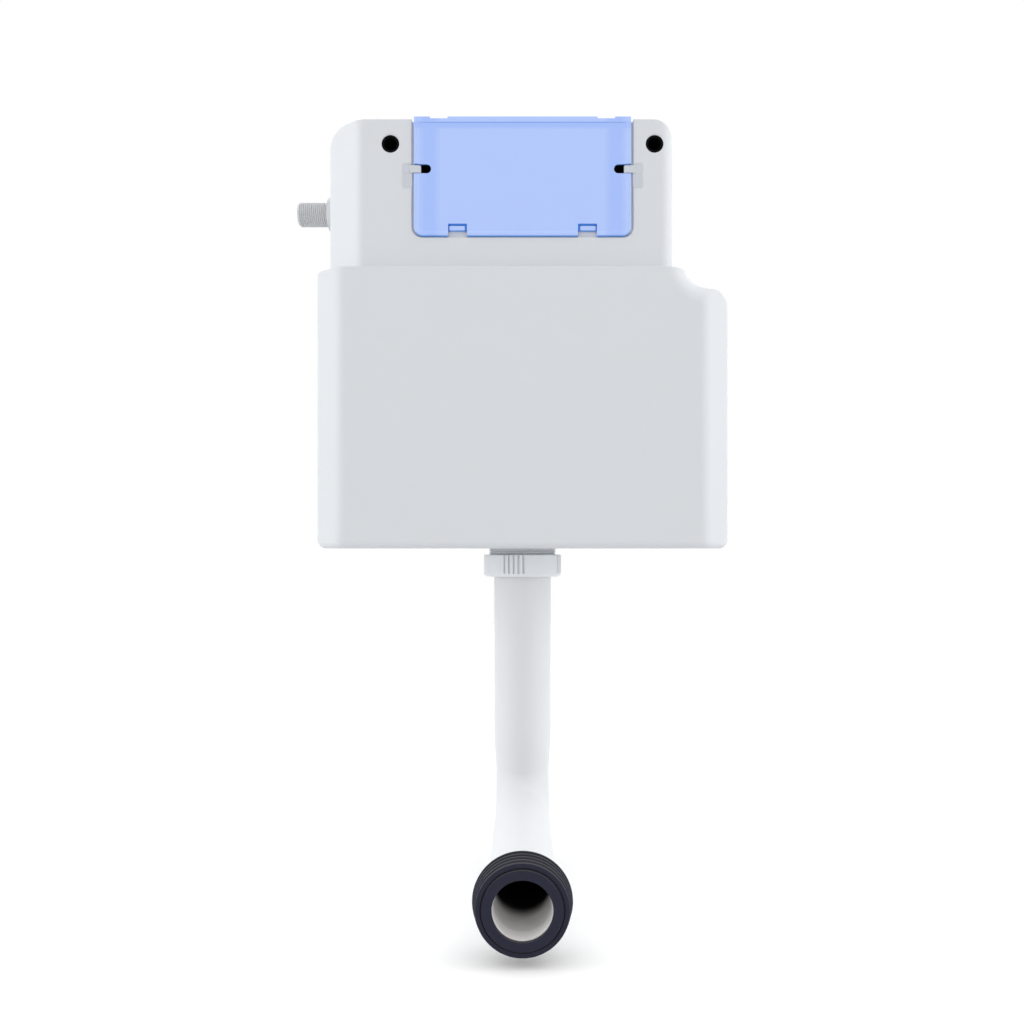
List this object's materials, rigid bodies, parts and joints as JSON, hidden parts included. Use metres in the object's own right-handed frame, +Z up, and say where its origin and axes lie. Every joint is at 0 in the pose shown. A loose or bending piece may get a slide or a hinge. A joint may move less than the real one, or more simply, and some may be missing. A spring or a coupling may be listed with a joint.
{
  "type": "toilet cistern",
  "caption": "Concealed dual-flush toilet cistern: stepped plastic tank with access cover, side inlet, fill valve, flush valve, flush pipe and finned pan connector.",
  "frame": {"origin": "midway between the two wall fixings, on the wall plane", "axes": "+X to the right seen from the front, +Y towards the wall, +Z up"},
  "size_m": [0.3748, 0.309, 0.6323],
  "materials": {
    "tank_white": "satin moulded",
    "pipe_white": "semi-gloss moulded",
    "pale_plastic": "satin moulded",
    "grey_plastic": "satin moulded",
    "cover_blue": "semi-gloss moulded",
    "red_plastic": "satin moulded",
    "black_plastic": "matt",
    "black_rubber": "matt",
    "steel": "plain"
  },
  "bodies": {
    "cistern": {"tank_shell": "tank_white", "fixing_sleeve_left": "black_plastic", "fixing_sleeve_right": "black_plastic", "catch_left": "pale_plastic", "catch_right": "pale_plastic", "inlet_shank": "grey_plastic", "inlet_nut": "pale_plastic", "inlet_washer": "black_rubber", "inlet_filter": "red_plastic", "fill_valve_body": "pipe_white", "fill_diaphragm": "black_rubber", "fill_valve_cap": "pale_plastic", "arm_pin": "steel", "valve_basket": "pale_plastic", "basket_gasket": "black_rubber", "actuator_bridge": "pale_plastic", "lever_pin": "steel", "outlet_washer": "black_rubber", "coupling_nut": "pipe_white", "flush_pipe": "pipe_white", "pan_connector": "black_rubber"},
    "cover": {"access_cover": "cover_blue"},
    "flush_valve": {"overflow_tube": "pipe_white", "valve_seal": "black_rubber", "seal_retainer": "pale_plastic", "full_lift_rod": "grey_plastic"},
    "part_flush": {"half_flush_float": "cover_blue", "half_lift_rod": "grey_plastic"},
    "full_lever": {"full_flush_lever": "cover_blue"},
    "half_lever": {"half_flush_lever": "pipe_white"},
    "float": {"fill_float": "pale_plastic", "float_rod": "grey_plastic"},
    "arm": {"float_arm": "cover_blue"}
  },
  "joints": [
    {"name": "cover_pull", "type": "slide", "parent": "cistern", "child": "cover", "axis": [0, -1, 0], "range_m": [0, 0.12]},
    {"name": "valve_lift", "type": "slide", "parent": "cistern", "child": "flush_valve", "axis": [0, 0, 1], "range_m": [0, 0.018]},
    {"name": "full_lever_turn", "type": "hinge", "parent": "cistern", "child": "full_lever", "pos_m": [0, -0.02, -0.073], "axis": [-1, 0, 0], "range_deg": [0, 23]},
    {"name": "part_lift", "type": "slide", "parent": "cistern", "child": "part_flush", "axis": [0, 0, 1], "range_m": [0, 0.014]},
    {"name": "half_lever_turn", "type": "hinge", "parent": "cistern", "child": "half_lever", "pos_m": [0, -0.02, -0.073], "axis": [-1, 0, 0], "range_deg": [0, 18]},
    {"name": "float_rise", "type": "slide", "parent": "cistern", "child": "float", "axis": [0, 0, 1], "range_m": [0, 0.012]},
    {"name": "arm_turn", "type": "hinge", "parent": "cistern", "child": "arm", "pos_m": [-0.113, -0.065, -0.0245], "axis": [0, -1, 0], "range_deg": [0, 25]}
  ],
  "couplings": [
    {"joint": "full_lever_turn", "follows": "valve_lift", "rad_per_m": 22.222},
    {"joint": "half_lever_turn", "follows": "part_lift", "rad_per_m": 22.222},
    {"joint": "arm_turn", "follows": "float_rise", "rad_per_m": 35.83}
  ]
}
